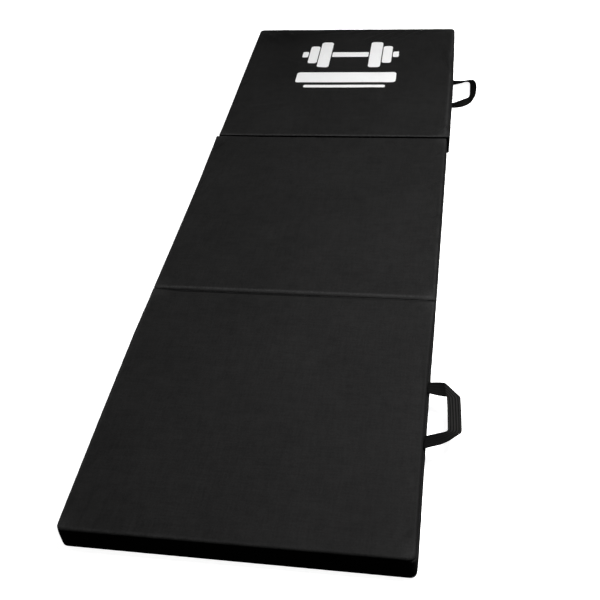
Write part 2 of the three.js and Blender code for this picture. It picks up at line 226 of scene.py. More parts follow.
def lattice(xs, ys, zs):
    """The surface points and faces of a box cut at these lines."""
    nx, ny, nz = len(xs) - 1, len(ys) - 1, len(zs) - 1
    index = {}
    points = []

    def at(*key):
        if key not in index:
            index[key] = len(points)
            points.append((xs[key[0]], ys[key[1]], zs[key[2]]))
        return index[key]

    faces = []
    for i in range(nx):
        for j in range(ny):
            faces.append((at(i, j, nz), at(i + 1, j, nz), at(i + 1, j + 1, nz), at(i, j + 1, nz)))
            faces.append((at(i, j, 0), at(i, j + 1, 0), at(i + 1, j + 1, 0), at(i + 1, j, 0)))
    for i in range(nx):
        for k in range(nz):
            faces.append((at(i, 0, k), at(i + 1, 0, k), at(i + 1, 0, k + 1), at(i, 0, k + 1)))
            faces.append((at(i, ny, k), at(i, ny, k + 1), at(i + 1, ny, k + 1), at(i + 1, ny, k)))
    for j in range(ny):
        for k in range(nz):
            faces.append((at(0, j, k), at(0, j, k + 1), at(0, j + 1, k + 1), at(0, j + 1, k)))
            faces.append((at(nx, j, k), at(nx, j + 1, k), at(nx, j + 1, k + 1), at(nx, j, k + 1)))
    return np.array(points), faces


def rolled(inset, drop, radius):
    """Where a point near a square edge goes when that edge is rounded: its new inset and drop."""
    on_cap = drop <= 0
    share = np.where(on_cap, (radius - inset) / (2 * radius), 0.5 + drop / (2 * radius))
    angle = np.clip(share, 0, 1) * math.pi / 2
    near = np.where(on_cap, inset < radius, drop < radius)
    new_inset = np.where(near, radius * (1 - np.sin(angle)), inset)
    new_drop = np.where(near, radius * (1 - np.cos(angle)), drop)
    return new_inset, new_drop


def rounded_block(half_x, half_y, low, high, radii, bottom_radius, rows, cell, edges):
    """A closed block centred on the Z axis. radii(y) gives its corner radius and its top edge's radius."""
    xs = grid_lines(half_x, edges, cell)
    ys = grid_lines(half_y, edges, cell)
    zs = np.array([low, *rows, high])
    points, faces = lattice(xs, ys, zs)
    x, y, z = points.T
    plan_radius, top_radius = radii(y)
    inset = np.minimum(half_x - abs(x), half_y - abs(y))
    upper = z > (low + high) / 2
    drop = np.where(upper, high - z, z - low)
    top_inset, top_drop = rolled(inset, drop, top_radius)
    bottom_inset, bottom_drop = rolled(inset, drop, bottom_radius)
    inset = np.where(upper, top_inset, bottom_inset)
    z = np.where(upper, high - top_drop, low + bottom_drop)
    u = np.maximum(abs(x) - (half_x - plan_radius), 0) / plan_radius
    v = np.maximum(abs(y) - (half_y - plan_radius), 0) / plan_radius
    length = np.maximum(np.hypot(u, v), 1e-9)
    reach = np.clip(1 - inset / plan_radius, 0, 1)
    round_x = np.minimum(abs(x), half_x - plan_radius) + plan_radius * u / length * reach
    round_y = np.minimum(abs(y), half_y - plan_radius) + plan_radius * v / length * reach
    return np.column_stack((np.sign(x) * round_x, np.sign(y) * round_y, z)), faces


# ---- covers

# Creases seen in the photograph, in panel coordinates: start x y, end x y, half width, height.
CREASES = {
    "near": [
        (-266, -296, -254, -196, 8, 1.9),
        (-236, -296, -226, -214, 8, 1.7),
        (-204, -296, -196, -226, 8, 1.5),
        (-166, -296, -160, -246, 7, 1.2),
        (-292, -180, -250, -120, 10, 1.2),
        (292, -246, 262, -270, 7, 1.4),
        (294, -120, 270, -140, 7, 1),
        (-70, -40, 40, -10, 18, 1),
        (296, 40, 276, 180, 12, 1.4),
        (-250, 40, -130, 70, 16, 0.9),
    ],
    "middle": [
        (-293, 252, -270, 294, 6, 2.4),
        (-298, 222, -258, 286, 7, 2.2),
        (-298, 60, -258, 236, 11, 2),
        (-284, 20, -232, 186, 12, 1.6),
        (-298, -70, -262, 10, 10, 1.4),
        (304, -14, 282, -30, 6, 2.6),
        (292, 0, 236, 190, 16, 1.7),
        (-200, -128, -86, -120, 15, 1.2),
        (-188, -166, -60, -156, 14, 1),
        (296, 240, 262, 200, 8, 1.4),
        (40, 60, 190, 110, 18, 1),
    ],
    "far": [
        (40, 212, 112, 276, 7, 2.4),
        (72, 210, 150, 280, 7, 2.8),
        (108, 214, 190, 288, 7, 2.8),
        (150, 222, 222, 284, 8, 2.6),
        (-10, 262, 70, 294, 9, 1.8),
        (-120, 262, 10, 294, 12, 1.8),
        (256, 214, 300, -10, 9, 4.4),
        (228, 226, 276, 90, 12, 2.6),
        (304, -214, 279, -270, 7, 4),
        (286, -244, 262, -280, 6, 2.4),
        (-292, 270, -240, 200, 14, 2.8),
        (-240, 294, -190, 220, 14, 2.6),
        (-298, -60, -262, 0, 9, 1.8),
        (-250, -180, -130, -150, 12, 1.2),
        (120, -140, 250, -110, 14, 1.4),
        (-60, 60, -190, 120, 16, 1.4),
    ],
}

# How much of a crease stands up and how much sinks in: the near and middle panels fold face to face.
CREASE_SHARES = {"near": (0.5, 0.9), "middle": (0.5, 0.9), "far": (0.95, 0.6)}
# How far the fabric may swell, and how far it may stand above the faces that meet when the mat is folded.
CROWN = {"near": 0.9, "middle": 0.9, "far": 1.7}
FACE_ROOM = 1.8


def crease_height(points, ends, width, height, shares):
    """A soft fold beside a groove, fading at its ends."""
    start, end = np.reshape(ends, (2, 2)).astype(float)
    along = (end - start) / np.linalg.norm(end - start)
    across = np.array((-along[1], along[0]))
    offset = points[:, :2] - start
    s = offset @ along / np.linalg.norm(end - start)
    d = offset @ across
    fade = smoothstep(-0.15, 0.2, s) * (1 - smoothstep(0.6, 1.15, s))
    ridge = bell(d - 1.1 * width, 0.8 * width)
    return fade * height * (shares[0] * ridge - shares[1] * bell(d, 0.5 * width))


def cover_radii(panel):
    """The corner and edge radii along a cover: its corners are tight where it meets the next panel."""

    def radii(y):
        fold = np.zeros_like(y)
        for side in FOLD_SIDES[panel]:
            fold = np.maximum(fold, near_end(side * y, 34, 14))
        plan = PLAN_RADIUS + (FOLD_PLAN_RADIUS - PLAN_RADIUS) * fold
        return plan, TOP_RADIUS + (FOLD_TOP_RADIUS - TOP_RADIUS) * fold

    return radii


def settled(panel, points):
    """The points of a cover, in panel coordinates, moved to where the fabric lies in the photograph."""
    x, y, z = points.T
    world_y = y + PANEL_AT[panel]
    dx = -np.interp(world_y, *LEFT_EDGE) * (1 - smoothstep(-300, -190, x)) * smoothstep(33, 46, z)
    start = -290 if panel == "far" else 120
    dx += np.interp(world_y, *RIGHT_SIDE) * smoothstep(start, start + 180, x)
    dx -= np.interp(world_y, *RIGHT_TUCK) * smoothstep(120, HALF_WIDTH, x) * smoothstep(38, 47, z)
    dy = np.zeros_like(x)
    side = (x + HALF_WIDTH) / (2 * HALF_WIDTH)
    if panel == "near":
        low = 1 - smoothstep(4, 46, z)
        top = FRONT_TOP[0] + (FRONT_TOP[1] - FRONT_TOP[0]) * side
        bottom = FRONT_BOTTOM[0] + (FRONT_BOTTOM[1] - FRONT_BOTTOM[0]) * side
        dy += np.clip(-y / HALF_LENGTH, 0, 1) ** 2 * (top + (bottom - top) * low)
    if panel == "far":
        dy += np.clip(y / HALF_LENGTH, 0, 1) * FAR_SKEW * (1 - side)
    if panel != "far":
        lean = (np.interp(x, *FOLD_LEAN) + FOLD_CLOSED[panel]) * smoothstep(6, 48, z)
        toward = y if panel == "near" else -y
        dy += lean * near_end(toward, 26, 0)
    dz = np.zeros_like(x)
    if panel == "middle":
        sink = np.interp(x, *FAR_FOLD_SINK) * smoothstep(38, 48, z)
        dz -= sink * near_end(y, 6, 0)
    return points + np.column_stack((dx, dy, dz))


CLOTH_STEPS = 20
CLOTH = {
    "quality": 4,
    "mass": 0.3,
    "tension_stiffness": 12,
    "compression_stiffness": 12,
    "shear_stiffness": 8,
    "bending_stiffness": 0.8,
    "vertex_group_mass": "held",
    "pin_stiffness": 1,
    "use_pressure": True,
    "uniform_pressure_force": 4,
    "shrink_min": -0.004,
}


def add_cloth(piece, held):
    group = piece.vertex_groups.new(name="held")
    for i, weight in enumerate(held):
        group.add([i], float(weight), "REPLACE")
    cloth = piece.modifiers.new("swell", "CLOTH")
    for key, value in CLOTH.items():
        setattr(cloth.settings, key, value)
    cloth.settings.effector_weights.gravity = 0
    cloth.collision_settings.use_collision = False
    cloth.point_cache.frame_start = 1
    cloth.point_cache.frame_end = CLOTH_STEPS


def to_edges(points):
    """How far each point of a cover is from its side and from its end."""
    return HALF_WIDTH - abs(points[:, 0]), HALF_LENGTH - abs(points[:, 1])


def swell(piece, panel, seed):
    """Lets the cover swell round its foam with Blender's cloth, held at its seams and on the floor."""
    rest = points_of(piece)
    inset = np.minimum(*to_edges(rest))
    on_top = rest[:, 2] > THICKNESS - 0.5
    held = np.where(on_top, 1 - smoothstep(4, 40, inset), 1)
    wall = (rest[:, 2] > 9) & (rest[:, 2] < 40)
    held = np.where(wall, 0.25, held)
    start = rest.copy()
    start[:, 2] += np.where(on_top, 0.25 * noise_at(rest, 0.02, seed), 0)
    set_points(piece, start)
    add_cloth(piece, held)
    scene = bpy.context.scene
    for step in range(1, CLOTH_STEPS + 1):
        scene.frame_set(step)
    apply_modifiers(piece)
    scene.frame_set(1)
    moved = points_of(piece) - rest
    lift = np.linalg.norm(moved, axis=1)
    cap = np.where(on_top, CROWN[panel], 0.9)
    moved *= (cap * np.tanh(lift / cap) / np.maximum(lift, 1e-9))[:, None]
    moved[~(on_top | wall)] = 0
    set_points(piece, rest + moved)


def slot_shares(x, y, z, normals):
    """How far each point is in the zip's slot, and how far the wall has to be calm round it."""
    in_slot = (x < -HALF_WIDTH + 3) & (normals[:, 0] < -0.5)
    height = abs(z - ZIP_Z)
    beside = 1 - smoothstep(SLOT_HALF_HEIGHT - 0.5, SLOT_HALF_HEIGHT + 0.4, height)
    length = 1 - smoothstep(SLOT_HALF_LENGTH - 3, SLOT_HALF_LENGTH + 3, abs(y))
    calm = in_slot * (1 - smoothstep(7, 13, height)) * (1 - smoothstep(252, 266, abs(y)))
    return in_slot * beside * length, calm


def wrinkled(piece, panel, seed):
    """Seams, puckers, the zip's slot, creases and slack, on the finished mesh."""
    points = points_of(piece)
    normals = vertex_values(piece, "normal")
    x, y, z = points.T
    wall = 1 - smoothstep(0.5, 0.85, abs(normals[:, 2]))
    top = smoothstep(0.6, 0.95, normals[:, 2])
    inset = np.minimum(*to_edges(points))
    pucker = noise_at(points * (1, 1, 0.35), 0.11, seed)
    slack = noise_at(points, 0.018, seed + 3)
    ripple = noise_at(points * (1, 1, 0.6), 0.045, seed + 7)
    tight = 0.75 + 0.35 * pucker
    out = -wall * bell(z - TOP_SEAM_Z, 0.75) * tight
    out -= wall * 0.9 * bell(z - BOTTOM_SEAM_Z, 0.75) * tight
    near_seam = bell(z - TOP_SEAM_Z - 2.5, 3) + bell(z - BOTTOM_SEAM_Z, 4)
    out += wall * near_seam * 0.28 * pucker
    outer = np.ones_like(y)
    for side in FOLD_SIDES[panel]:
        outer[side * y > HALF_LENGTH - 14] = 0.35
    out += wall * outer * bell(z - THICKNESS / 2, 13) * (0.5 * slack + 0.35 * ripple + 0.5)
    rim = bell(inset - 9, 9)
    lift = top * (0.34 * slack * smoothstep(6, 60, inset) + rim * 0.30 * ripple + rim * 0.12 * pucker)
    crease_share = smoothstep(0, 0.8, normals[:, 2]) * smoothstep(1, 8, inset)
    for *ends, width, height in CREASES[panel]:
        lift += crease_share * crease_height(points, ends, width, height, CREASE_SHARES[panel])
    slot, calm = slot_shares(x, y, z, normals)
    out *= 1 - calm
    out = out * (1 - slot) - SLOT_DEPTH * slot
    points = points + normals * (out + lift)[:, None]
    flat = z < 0.4
    points[flat, 2] = np.maximum(points[flat, 2], 0)
    if panel != "far":
        above = points[:, 2] > THICKNESS
        points[above, 2] = THICKNESS + FACE_ROOM * np.tanh((points[above, 2] - THICKNESS) / FACE_ROOM)
    set_points(piece, settled(panel, points))


# Patches of painted shade on the covers: place, spread and strength.
PAINTED_SHADE_PATCHES = {
    "near": [((-240, -255), (70, 40), 0.25), ((250, -230), (110, 110), 0.3)],
    "middle": [((-285, 250), (26, 40), 0.5), ((302, -22), (12, 10), 1)],
    "far": [
        ((-200, 250), (110, 70), 0.95),
        ((20, 285), (150, 30), 0.5),
        ((-180, 60), (60, 110), 0.3),
        ((282, 120), (14, 60), 0.35),
    ],
}


def paint_wear_highlight_and_shade(piece, panel, seed):
    """Where the fabric is rubbed: the rounded edges and the corners. Painted highlights on the edges that face
    a fold, and painted shade in patches and in the fold crevices.
    """
    points = points_of(piece)
    x, y, z = points.T
    inset = np.minimum(*to_edges(points))
    corner = np.hypot(*to_edges(points))
    edge = bell(inset + THICKNESS - z - 2.2, 3)
    rub_and_highlight = edge * (0.42 + 0.4 * noise_at(points, 0.05, seed + 20)) + 0.6 * bell(corner, 26)
    # Painted highlight: the rounded edges of the middle and far panels that face a fold are lightened.
    if panel != "near":
        rub_and_highlight += edge * near_end(-y, 8, 2)
    if panel == "far":
        rub_and_highlight += 0.6 * edge * smoothstep(HALF_WIDTH - 8, HALF_WIDTH - 2, x)
    # Painted shade in patches where the covers look darker.
    shade = np.zeros_like(x)
    for place, (across, along), strength in PAINTED_SHADE_PATCHES[panel]:
        shade += strength * bell(x - place[0], across) * bell(y - place[1], along)
    # Painted shade on the near panel's top edge where it drops into the near fold; less wear is painted there.
    if panel == "near":
        from_edge = HALF_LENGTH + np.interp(x, *FOLD_LEAN) - y
        dark = np.interp(x, *NEAR_FOLD_SHADE) * (1 - smoothstep(3, 6.5, from_edge))
        rub_and_highlight *= 1 - dark / 2
        shade += dark
    # Painted shade along the middle panel's sunk top edge at the far fold; less wear is painted there.
    if panel == "middle":
        sunk = near_end(y, 4, 1) * np.interp(x, *FAR_FOLD_SINK) / 3.2
        rub_and_highlight *= 1 - sunk
        shade += 2 * sunk
    # Painted shade on the far panel's front wall, down in the far fold's crevice.
    if panel == "far":
        shade += 2 * smoothstep(0.8, 2.2, THICKNESS - z) * near_end(-y, 2, 0.5)
    seam = (bell(z - TOP_SEAM_Z, 0.9) + bell(z - BOTTOM_SEAM_Z, 0.9)) * (inset < 3)
    add_attribute(piece, "wear_and_highlight", np.clip(rub_and_highlight, 0, 1))
    add_attribute(piece, "seam", np.clip(seam, 0, 1))
    add_attribute(piece, "painted_shade", np.clip(shade, 0, 2))


def add_cover(panel, seed, material):
    size = (HALF_WIDTH, HALF_LENGTH, 0, THICKNESS)
    points, faces = rounded_block(*size, cover_radii(panel), BOTTOM_RADIUS, WALL_ROWS, CELL, EDGE_LINES)
    cover = make_object(f"{panel}_cover", points, faces, material)
    swell(cover, panel, seed)
    subdivided(cover)
    wrinkled(cover, panel, seed)
    paint_wear_highlight_and_shade(cover, panel, seed)
    set_points(cover, points_of(cover) + (0, PANEL_AT[panel], 0))
    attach(cover, f"{panel}_panel")
    sides = ("top_sheet", "bottom_sheet", "front_gusset", "back_gusset", "right_gusset", "left_gusset")
    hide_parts(*(f"{panel}_{side}" for side in sides))
    return cover


# Room between each foam block's CAD box and its cushioned shape.
FOAM_SLACK = (4, 5, 2)


def add_foam(panel, seed, material):
    """The foam block inside the cover, cut from a slab."""
    low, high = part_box(f"{panel}_foam_core")
    low, high = low + Vector(FOAM_SLACK) * MM, high - Vector(FOAM_SLACK) * MM
    size = (high - low) / MM / 2
    rows, edges = (7, 18, 32, 43), (0, 3, 12)
    extent = (size.x, size.y, low.z / MM, high.z / MM)
    points, faces = rounded_block(*extent, lambda _: (12, 3), 3, rows, 24, edges)
    points[:, 2] += 0.15 * noise_at(points, 0.05, seed) * np.where(points[:, 2] > 25, 1, -1)
    points[:, 0] += (low.x + high.x) / MM / 2
    points[:, 1] += (low.y + high.y) / MM / 2
    foam = make_object(f"{panel}_foam", points, faces, material)
    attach(foam, f"{panel}_panel")
    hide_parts(f"{panel}_foam_core")


# ---- strips and webbing


def spline(points, count):
    """count points at even steps along a smooth curve through the given points."""
    points = np.asarray(points, float)
    padded = np.vstack((2 * points[0] - points[1], points, 2 * points[-1] - points[-2]))
    fine = []
    for i in range(len(points) - 1):
        a, b, c, d = padded[i : i + 4]
        for t in np.linspace(0, 1, 24, endpoint=False):
            bend = (2 * a - 5 * b + 4 * c - d) * t**2 + (3 * b - a - 3 * c + d) * t**3
            fine.append(0.5 * (2 * b + (c - a) * t + bend))
    fine.append(points[-1])
    fine = np.array(fine)
    steps = distances(fine)
    wanted = np.linspace(0, steps[-1], count)
    return np.column_stack([np.interp(wanted, steps, fine[:, k]) for k in range(fine.shape[1])]), steps[-1]


def ribbon_faces(rows, columns):
    def at(i, j, side):
        return side * rows * columns + i * columns + j

    faces = []
    for i in range(rows - 1):
        for j in range(columns - 1):
            faces.append((at(i, j, 0), at(i, j + 1, 0), at(i + 1, j + 1, 0), at(i + 1, j, 0)))
            faces.append((at(i, j, 1), at(i + 1, j, 1), at(i + 1, j + 1, 1), at(i, j + 1, 1)))
        last = columns - 1
        faces.append((at(i, 0, 0), at(i + 1, 0, 0), at(i + 1, 0, 1), at(i, 0, 1)))
        faces.append((at(i, last, 0), at(i, last, 1), at(i + 1, last, 1), at(i + 1, last, 0)))
    for j in range(columns - 1):
        end = rows - 1
        faces.append((at(0, j, 0), at(0, j, 1), at(0, j + 1, 1), at(0, j + 1, 0)))
        faces.append((at(end, j, 0), at(end, j + 1, 0), at(end, j + 1, 1), at(end, j, 1)))
    return faces


def thick_ribbon(name, grid, thickness, width, length, material, shade=None):
    """A closed ribbon round a grid of points: rows run along it, columns across it. Its edges are thinner."""
    rows, columns, _ = grid.shape
    along = np.gradient(grid, axis=0)
    across = np.gradient(grid, axis=1)
    normal = np.cross(across, along)
    normal /= np.maximum(np.linalg.norm(normal, axis=2), 1e-9)[:, :, None]
    share = np.linspace(-1, 1, columns)
    half = 0.5 * thickness * np.sqrt(np.clip(1 - 0.82 * abs(share) ** 6, 0, 1))
    upper = grid + normal * half[None, :, None]
    lower = grid - normal * half[None, :, None]
    points = np.vstack((upper.reshape(-1, 3), lower.reshape(-1, 3)))
    u = np.tile(np.linspace(0, width * MM, columns), rows)
    v = np.repeat(np.linspace(0, length * MM, rows), columns)
    uv = np.column_stack((np.tile(u, 2), np.tile(v, 2)))
    ribbon = make_object(name, points, ribbon_faces(rows, columns), material, uv=uv)
    if shade is not None:
        # Painted shade, one value per row.
        add_attribute(ribbon, "shade", np.tile(np.repeat(shade, columns), 2))
    return ribbon


def fold_strip(fold, y, section, material, seed):
    """A strip of hinge fabric along a fold. section lists its (y, z) points from one seam to the other."""
    line, length = spline(section, 17)
    xs = np.linspace(-STRIP_LENGTH / 2, STRIP_LENGTH / 2, 96)
    grid = np.zeros((len(xs), len(line), 3))
    belly = np.sin(np.linspace(0, math.pi, len(line)))
    for i, x in enumerate(xs):
        wave = 0.35 * noise.noise(Vector((x * 0.03, seed, 0)))
        wave += 0.2 * noise.noise(Vector((x * 0.11, seed, 4)))
        grid[i, :, 0] = x
        grid[i, :, 1] = y + line[:, 0] + 0.25 * wave * belly
        grid[i, :, 2] = line[:, 1] + wave * belly
    strip = thick_ribbon(f"{fold}_hinge", grid, STRIP_THICKNESS, length, STRIP_LENGTH, material)
    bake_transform(strip)
    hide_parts(f"{fold}_fold_strip")


FOLD_Y = PITCH / 2
STRIP_LENGTH = 570
STRIP_THICKNESS = 0.7
NEAR_STRIP = ((-6.2, 47.8), (-4.6, 47.4), (-2.6, 46.7), (-0.4, 46.2), (1.4, 46.7), (2.5, 47.2), (3.6, 47.8))
FAR_STRIP = ((-5.4, 1.9), (-3.6, 2.3), (-1.8, 3), (0, 3.6), (1.8, 3), (3.6, 2.3), (5.4, 1.9))

WEB_WIDTH = 24
WEB_THICKNESS = 1.7
RIBBON_STEP = 0.7
RIBBON_COLUMNS = 13

# Stations along each handle: its outer edge, its inner edge, and how much painted shade darkens it there.
NEAR_HANDLE = (
    (299, -526.6, 47.9, 299, -553, 47.2, 0.9),
    (304, -526.7, 48, 303, -553.3, 46.8, 0.8),
    (316, -526.8, 49.4, 317, -555.2, 45.2, 0.85),
    (328.8, -527.2, 50, 333.2, -557.2, 45, 0.95),
    (329.6, -528, 50.9, 334, -557.6, 46.8, 0.1),
    (343.9, -542.4, 49.4, 334, -558.8, 47, 0),
    (358.6, -557.4, 47.6, 333.9, -562, 47, 0),
    (360, -575, 46.2, 335, -575, 46.8, 0),
    (361.4, -598.5, 45.9, 336.6, -597.8, 46.7, 0),
    (362.5, -620, 45.5, 337.8, -620, 46.9, 0),
    (363.2, -634.2, 45, 338.4, -634, 47.7, 0.05),
    (361.4, -639.4, 45, 338, -637.6, 48.3, 0.2),
    (356.4, -643.8, 45.4, 334.4, -640.4, 48.5, 0.5),
    (341.9, -658, 45.8, 325.4, -643.6, 48.6, 0.85),
    (327.2, -668, 46.2, 312.9, -648, 48.3, 0.9),
    (314.4, -673.2, 46.7, 306.6, -650.2, 48, 0.9),
    (302.3, -678.4, 47.3, 302.5, -652, 47.9, 0.95),
    (299, -679.4, 47.4, 299, -653.2, 47.9, 0.95),
)
FAR_HANDLE = (
    (299, 522, 2.6, 299, 545, 2.6, 0.8),
    (307, 522.6, 2.1, 307.4, 545, 3, 0.8),
    (318.9, 524.6, 1.3, 317, 548.6, 4.5, 0.8),
    (329.5, 527.4, 0.9, 327.4, 552.7, 6.5, 0.7),
    (340.4, 532.4, 0.9, 337, 555.6, 9, 0.65),
    (352.4, 543.4, 0.9, 346, 553, 14.6, 0.6),
    (358.6, 553.4, 0.9, 352.4, 552, 18.2, 0.6),
    (363.8, 567, 0.9, 354.5, 561, 19.4, 0.65),
    (368.4, 583, 0.9, 354.8, 575, 18.6, 0.75),
    (370.9, 598, 0.9, 354.5, 590, 18, 0.8),
    (372.2, 618.4, 0.9, 354.4, 603, 17.6, 0.9),
    (372.6, 640.6, 0.9, 354.3, 615, 17.2, 0.95),
    (371, 660, 0.9, 353.9, 626, 16.6, 1),
    (366.6, 673.4, 0.9, 352.8, 634, 15.6, 1),
    (359.6, 679.2, 0.9, 350.4, 639.6, 14.6, 1),
    (351, 676.6, 0.9, 347, 643.2, 13.7, 1),
    (343, 673.4, 0.9, 342, 645.2, 12.4, 1),
    (335.6, 672.4, 0.9, 335.3, 645.4, 10.2, 1),
    (324.7, 672, 0.9, 325.1, 645.2, 7.2, 0.9),
    (313.1, 671.8, 1.6, 313.7, 644.8, 4.6, 0.85),
    (303.2, 671.6, 2.4, 303.9, 644.6, 3, 0.85),
    (299, 671.6, 2.6, 299, 644.6, 2.8, 0.85),
)


def webbing_grid(stations, soften):
    """Rows of points across a handle, from its outer edge in, its corners softened over a length in mm."""
    stations = np.array(stations)
    moves = np.diff(stations[:, :6], axis=0).reshape(-1, 2, 3)
    steps = np.concatenate(([0], np.cumsum(np.linalg.norm(moves, axis=2).mean(axis=1))))
    places = np.linspace(0, steps[-1], int(steps[-1] / RIBBON_STEP))
    rows = np.column_stack([np.interp(places, steps, stations[:, k]) for k in range(7)])
    reach = int(3 * soften / RIBBON_STEP)
    kernel = np.exp(-0.5 * (np.arange(-reach, reach + 1) * RIBBON_STEP / soften) ** 2)
    before = 2 * rows[0] - rows[reach:0:-1]
    after = 2 * rows[-1] - rows[-2 : -reach - 2 : -1]
    padded = np.vstack((before, rows, after))
    rows = np.column_stack([np.convolve(padded[:, k], kernel / kernel.sum(), "valid") for k in range(7)])
    share = np.linspace(0, 1, RIBBON_COLUMNS)[None, :, None]
    grid = rows[:, None, 0:3] * (1 - share) + rows[:, None, 3:6] * share
    return grid, rows[:, 6], steps[-1]


def add_handle(panel, grid, shade, length, material):
    handle = thick_ribbon(f"{panel}_handle", grid, WEB_THICKNESS, WEB_WIDTH, length, material, shade)
    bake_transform(handle)
    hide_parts(*(f"{panel}_handle_{part}" for part in ("loop", "front_tail", "back_tail")))


def near_handle(material):
    """Flat webbing from the top seam, folded over at its far corner and bent softly at its near one."""
    grid, shade, length = webbing_grid(NEAR_HANDLE, 1.5)
    add_handle("near", grid[:, ::-1], shade, length, material)


def far_handle(material):
    """Webbing from the bottom seam, standing on its outer edge on the floor."""
    grid, shade, length = webbing_grid(FAR_HANDLE, 2.6)
    rows, columns, _ = grid.shape
    bulge = np.outer(np.sin(np.linspace(0, math.pi, rows)), np.sin(np.linspace(0, math.pi, columns)))
    grid[:, :, 2] += 0.9 * bulge
    add_handle("far", grid, shade, length, material)


# ---- stitches and zips


def surface_of(*pieces):
    """A search tree over the pieces' surfaces, in metres."""
    points, faces = [], []
    for piece in pieces:
        base = len(points)
        points += [v.co.copy() for v in piece.data.vertices]
        faces += [tuple(base + i for i in face.vertices) for face in piece.data.polygons]
    return BVHTree.FromPolygons(points, faces)


def add_stitch(points, faces, start, end, radius):
    """A short thread, square in section, that dips into the fabric at both ends."""
    (a, normal_a), (b, normal_b) = start, end
    out = normal_a + normal_b
    out /= np.linalg.norm(out)
    along = b - a
    side = np.cross(along, out)
    side /= np.linalg.norm(side)
    base = len(points)
    points.append(a - 0.1 * out)
    for t in (0.22, 0.78):
        centre = a + along * t + out * (0.35 * radius)
        for p, q in ((1, 0), (0, 1), (-1, 0), (0, -1)):
            points.append(centre + radius * (side * p + 0.8 * out * q))
    points.append(b - 0.1 * out)
    for q in range(4):
        r = (q + 1) % 4
        faces.append((base, base + 1 + q, base + 1 + r))
        faces.append((base + 1 + q, base + 5 + q, base + 5 + r, base + 1 + r))
        faces.append((base + 9, base + 5 + r, base + 5 + q))


# Pitch, length and radius of the stitches, and how far those of a seam are from it.
SEAM_STITCH = (3.6, 2.7, 0.26)
ZIP_STITCH = (3.2, 2.4, 0.24)
STITCH_INSET = 2.6


def add_stitches(panel, kind, paths, tree, size, material):
    """Rows of single thread stitches laid on a surface along each path."""
    pitch, length, radius = size
    points, faces = [], []
    for path in paths:
        steps = distances(path)
        count = int(steps[-1] / pitch)
        for k in range(count):
            middle = (k + 0.5) * steps[-1] / count
            ends = []
            for s in (middle - length / 2, middle + length / 2):
                place = Vector([np.interp(s, steps, path[:, a]) for a in range(3)]) * MM
                near, normal, _, _ = tree.find_nearest(place)
                ends.append((np.array(near) / MM, np.array(normal)))
            add_stitch(points, faces, *ends, radius)
    piece = make_object(f"{panel}_{kind}_stitches", points, faces, material)
    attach(piece, f"{panel}_panel")


def closed_path(corners):
    """A closed path through the corners, with 12 steps to each side."""
    corners = np.array([*corners, corners[0]], float)
    steps = np.linspace(0, 1, 12, endpoint=False)
    return np.array([a + (b - a) * t for a, b in zip(corners, corners[1:]) for t in steps] + [corners[0]])


def outline_path(panel, z):
    """The panel's outline at a height."""
    corners = rounded_outline(-HALF_WIDTH, -HALF_LENGTH, HALF_WIDTH, HALF_LENGTH, PLAN_RADIUS)
    return settled(panel, closed_path([(x, y, z) for x, y in corners])) + (0, PANEL_AT[panel], 0)


def stitch_panel(panel, tree, material):
    """Stitches along both seams and round the slot of the zip."""
    rows = [outline_path(panel, z) for z in (TOP_SEAM_Z - STITCH_INSET, BOTTOM_SEAM_Z + STITCH_INSET)]
    add_stitches(panel, "seam", rows, tree, SEAM_STITCH, material)
    high, wide = SLOT_HALF_HEIGHT + 3, SLOT_HALF_LENGTH + 4
    corners = ((-wide, -high), (wide, -high), (wide, high), (-wide, high))
    path = closed_path([(-HALF_WIDTH - 1, PANEL_AT[panel] + a, ZIP_Z + b) for a, b in corners])
    add_stitches(panel, "zip", [path], tree, ZIP_STITCH, material)


TOOTH = ((-0.34, 0), (-0.2, 0.62), (0.2, 0.62), (0.34, 0), (0.2, -0.62), (-0.2, -0.62))


def add_zip_chain(panel, material):
    """Two rows of coil turns that mesh along the middle, with no end stops."""
    points, faces = [], []
    count = int(2 * CHAIN_HALF_LENGTH / TOOTH_PITCH)
    for k in range(count):
        for side in (-1, 1):
            y = PANEL_AT[panel] - CHAIN_HALF_LENGTH + TOOTH_PITCH * (k + (0.25 if side > 0 else 0.75))
            base = len(points)
            for z, squeeze in ((2.75, 0.7), (2.3, 1), (0.1, 1), (-0.55, 0.75)):
                for a, b in TOOTH:
                    points.append((CHAIN_X + b * squeeze, y + a * squeeze, ZIP_Z + side * z))
            for ring in range(3):
                for q in range(6):
                    a, b = base + 6 * ring + q, base + 6 * ring + (q + 1) % 6
                    faces.append((a, b, b + 6, a + 6))
            faces.append([base + q for q in range(6)])
            faces.append([base + 18 + q for q in range(6)])
    chain = make_object(f"{panel}_zip_coil", points, faces, material)
    bm = bmesh.new()
    bm.from_mesh(chain.data)
    bmesh.ops.recalc_face_normals(bm, faces=bm.faces)
    bm.to_mesh(chain.data)
    bm.free()
    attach(chain, f"{panel}_panel")
    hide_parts(f"{panel}_zip_chain")


# ---- the print

PRINT_LIFT = 0.22
PRINT_THICKNESS = 0.2
PRINT_STEP = 6


def rounded_outline(x0, y0, x1, y1, radius):
    path = []
    for cx, cy, start in (
        (x1 - radius, y0 + radius, -90),
        (x1 - radius, y1 - radius, 0),
        (x0 + radius, y1 - radius, 90),
        (x0 + radius, y0 + radius, 180),
    ):
        for a in range(0, 91, 15):
            angle = math.radians(start + a)
            path.append((cx + radius * math.cos(angle), cy + radius * math.sin(angle)))
    return path


